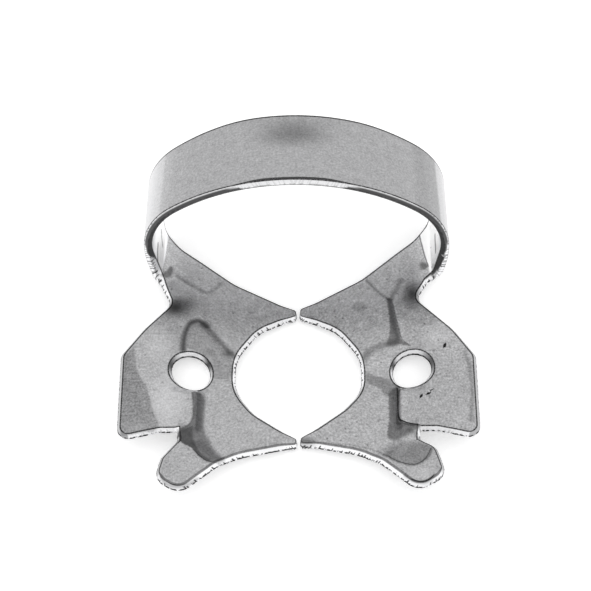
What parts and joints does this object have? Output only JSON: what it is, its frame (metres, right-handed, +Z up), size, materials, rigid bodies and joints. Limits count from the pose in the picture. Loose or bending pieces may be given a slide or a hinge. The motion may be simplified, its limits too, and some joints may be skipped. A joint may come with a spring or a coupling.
{
  "type": "rubber dam clamp",
  "caption": "Winged spring-steel clamp for a molar: pronged jaws with wings and forceps holes, joined by a high arched bow.",
  "frame": {"origin": "centre of the bounding box's bottom face, on the surface that the clamp rests on", "axes": "+Z up as the clamp lies on its jaws, +X across the jaws from wing to wing, +Y from the front lobes towards the bow"},
  "size_m": [0.0288, 0.029, 0.013],
  "materials": {
    "stainless_steel": "satin, rubbed smooth, with bright sheared edges"
  },
  "bodies": {
    "root": {"clamp_body": "stainless_steel"}
  },
  "joints": []
}
